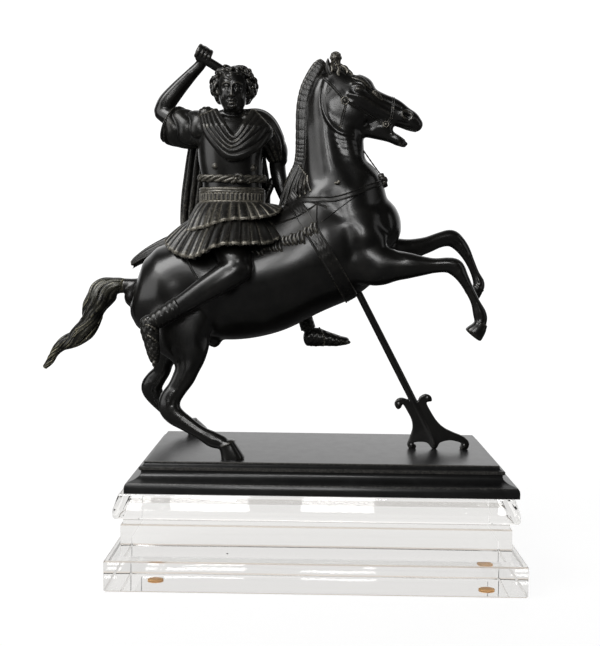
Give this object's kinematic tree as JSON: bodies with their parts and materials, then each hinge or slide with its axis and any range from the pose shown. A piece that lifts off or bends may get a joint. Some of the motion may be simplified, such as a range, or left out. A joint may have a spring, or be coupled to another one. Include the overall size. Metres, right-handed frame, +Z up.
{
  "type": "equestrian statuette",
  "caption": "Dark bronze statuette of a rider on a rearing horse, held by a support with a flat scrolled foot, on a moulded black base and a stepped clear plinth.",
  "frame": {"origin": "centre of the clear plinth's underside", "axes": "+Z up, +X the way the horse faces, -Y towards the viewer of the front side"},
  "size_m": [0.5643, 0.229, 0.6178],
  "materials": {
    "patinated_bronze": "near-black patina, waxed to a soft gloss, a little worn on raised edges",
    "black_base": "black satin, smooth top with soft reflections, light wear along the moulding",
    "clear_acrylic": "polished clear acrylic"
  },
  "bodies": {
    "root": {"horse": "patinated_bronze", "rider": "patinated_bronze", "tail": "patinated_bronze", "support": "patinated_bronze", "base": "black_base", "clear_plinth": "clear_acrylic"}
  },
  "joints": []
}
